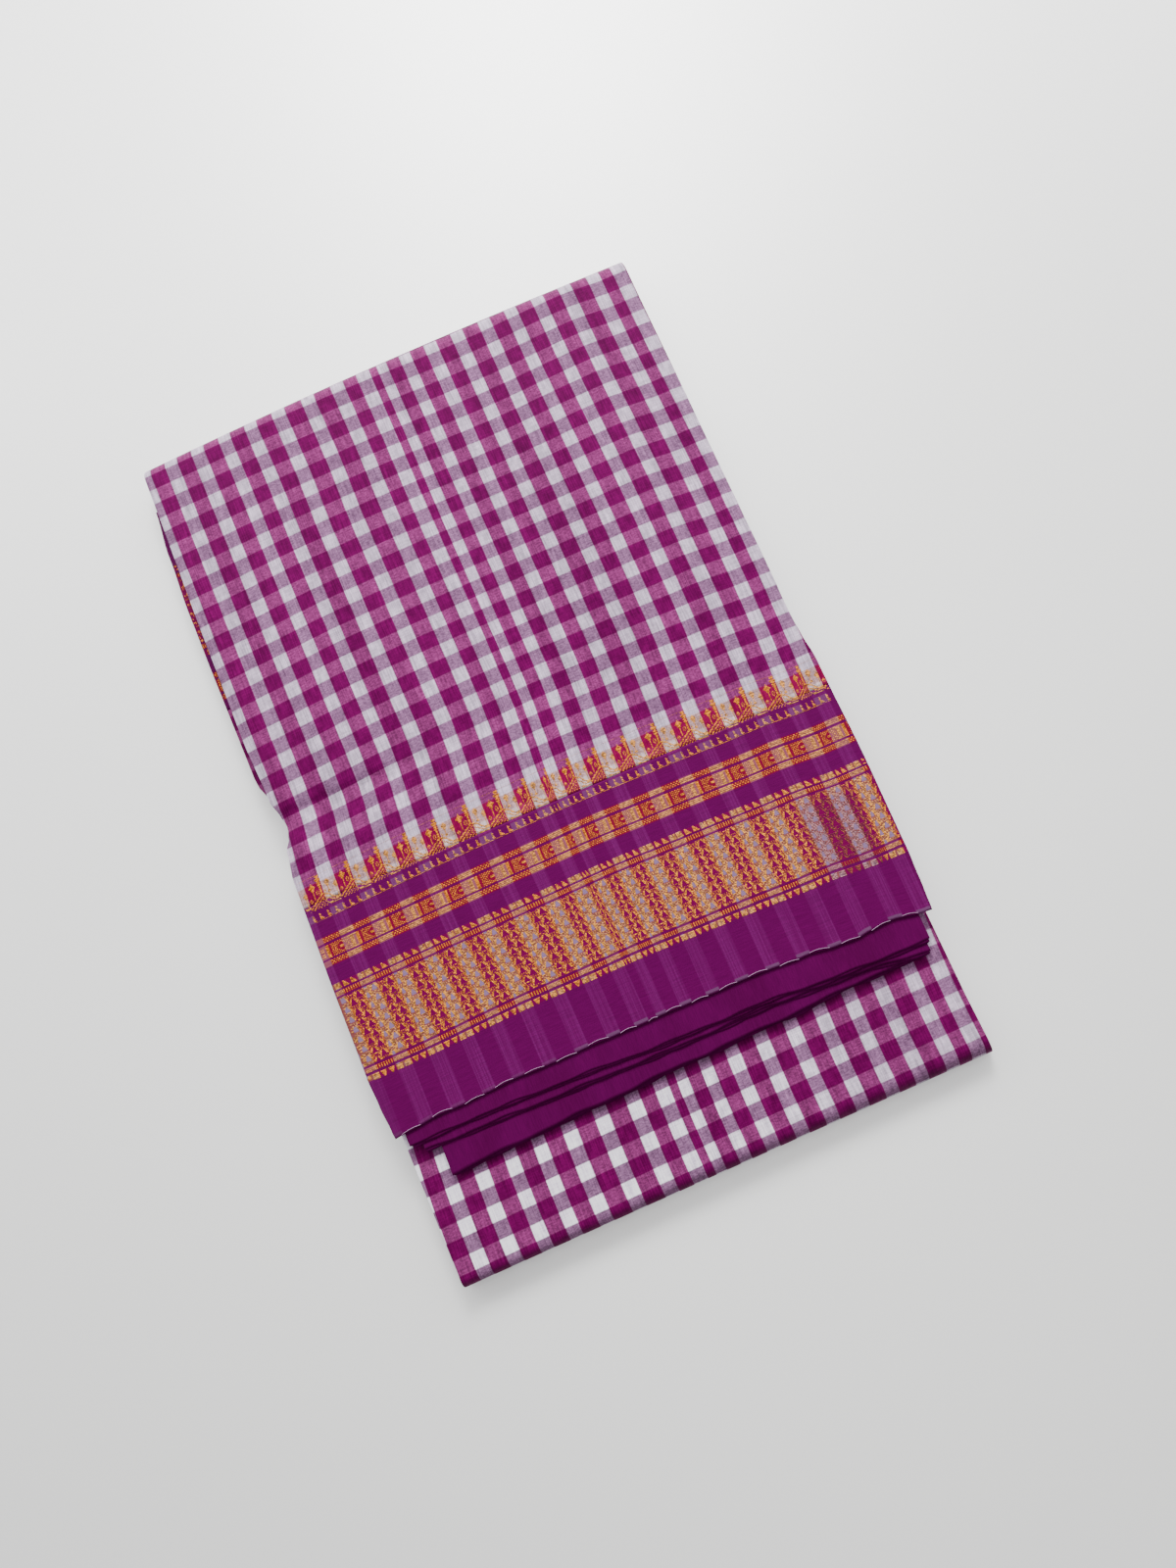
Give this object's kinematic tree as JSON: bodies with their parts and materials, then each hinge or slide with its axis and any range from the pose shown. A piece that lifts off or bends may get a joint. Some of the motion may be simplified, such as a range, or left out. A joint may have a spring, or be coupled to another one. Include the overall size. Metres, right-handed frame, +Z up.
{
  "type": "folded saree",
  "caption": "Cotton-silk saree in purple and white check with a woven gold border, folded to a flat bundle for the shelf.",
  "frame": {"origin": "centre of the bundle's bounding box, on the table under its base panel", "axes": "+Y from the bottom fold to the top fold, +X to the right as seen from above with the top fold away, +Z up"},
  "size_m": [0.2738, 0.4318, 0.0185],
  "materials": {
    "check_cloth": "fine cotton-silk plain weave in purple and white check",
    "border_cloth": "purple silk with woven gold figures",
    "plain_cloth": "plain purple silk hem band"
  },
  "bodies": {
    "root": {"front_field": "check_cloth", "front_border": "border_cloth", "back_field": "check_cloth", "lower_field": "check_cloth", "tucked_border": "border_cloth", "inner_layer_a": "plain_cloth", "inner_layer_b": "plain_cloth", "inner_layer_c": "plain_cloth", "hidden_layers": "check_cloth"}
  },
  "joints": []
}
